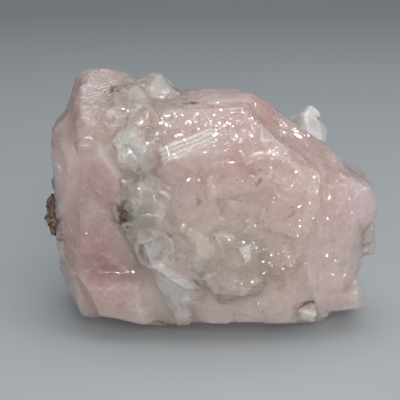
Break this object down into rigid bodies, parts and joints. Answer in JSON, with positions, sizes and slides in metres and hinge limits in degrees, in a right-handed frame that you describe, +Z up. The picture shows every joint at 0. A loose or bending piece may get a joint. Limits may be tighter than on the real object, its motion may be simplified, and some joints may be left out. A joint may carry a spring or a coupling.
{
  "type": "rough morganite crystal",
  "caption": "Rough pink morganite stone of grown-together beryl crystals, with a glassy albite vein, a pocket of pearly crystals and a little iron-stained rock. Rests on a broken flat.",
  "frame": {"origin": "on the table, under the middle of the stone's box", "axes": "+X to the right along the stone's length, -Y to the front that shows the albite vein, +Z up"},
  "size_m": [0.049, 0.0296, 0.0377],
  "materials": {
    "morganite": "pale pink natural beryl, glassy growth faces and uneven breaks, cloudy and translucent",
    "albite_glassy": "grey-white glassy albite blades, see-through at their edges",
    "albite_white": "milky white albite, waxy",
    "pearly_quartz": "pearly colourless crystals with glittering edges",
    "iron_rock": "dull brown iron-stained rock"
  },
  "bodies": {
    "root": {"morganite_crystal": "morganite", "albite_vein_top": "albite_glassy", "albite_vein_low": "albite_glassy", "albite_vein_back": "albite_glassy", "albite_tip": "albite_white", "albite_chip_under": "albite_white", "albite_grains_right": "albite_white", "pearly_crystals": "pearly_quartz", "iron_crust": "iron_rock", "iron_crust_high": "iron_rock", "iron_spot": "iron_rock"}
  },
  "joints": []
}
